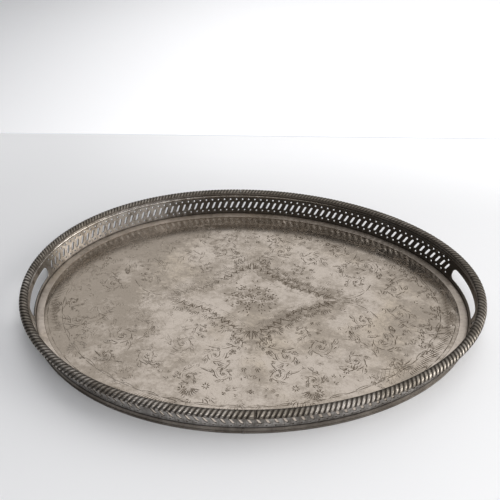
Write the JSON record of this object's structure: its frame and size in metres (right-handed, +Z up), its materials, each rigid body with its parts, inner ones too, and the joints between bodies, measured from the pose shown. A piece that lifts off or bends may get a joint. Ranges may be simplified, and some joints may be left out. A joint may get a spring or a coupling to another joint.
{
  "type": "oval gallery tray",
  "caption": "Oval silver-plated vanity tray with an engraved bed, a leaning pierced gallery with a hand-hole at each end, a gadrooned rim and a channelled foot wire.",
  "frame": {"origin": "on the table, under the middle of the oval (bottom centre of the bounding box)", "axes": "+X along the oval towards its leaner end, +Y across it, +Z up"},
  "size_m": [0.508, 0.3694, 0.038],
  "materials": {
    "bed_silver": "worn silver plate, engraved, mottled with tarnish, soft reflections",
    "gallery_silver": "pierced silver plate, darker with tarnish",
    "rim_silver": "gadrooned silver plate, dark in the hollows and bright on the lobes",
    "foot_silver": "plain silver-plated wire, tarnished"
  },
  "bodies": {
    "root": {"tray_bed": "bed_silver", "gallery_back_right": "gallery_silver", "gallery_left": "gallery_silver", "gallery_front_right": "gallery_silver", "rim_mount_back_left": "rim_silver", "rim_mount_front_left": "rim_silver", "rim_mount_front_right": "rim_silver", "rim_mount_back_right": "rim_silver", "foot_wire_left": "foot_silver", "foot_wire_right": "foot_silver"}
  },
  "joints": []
}
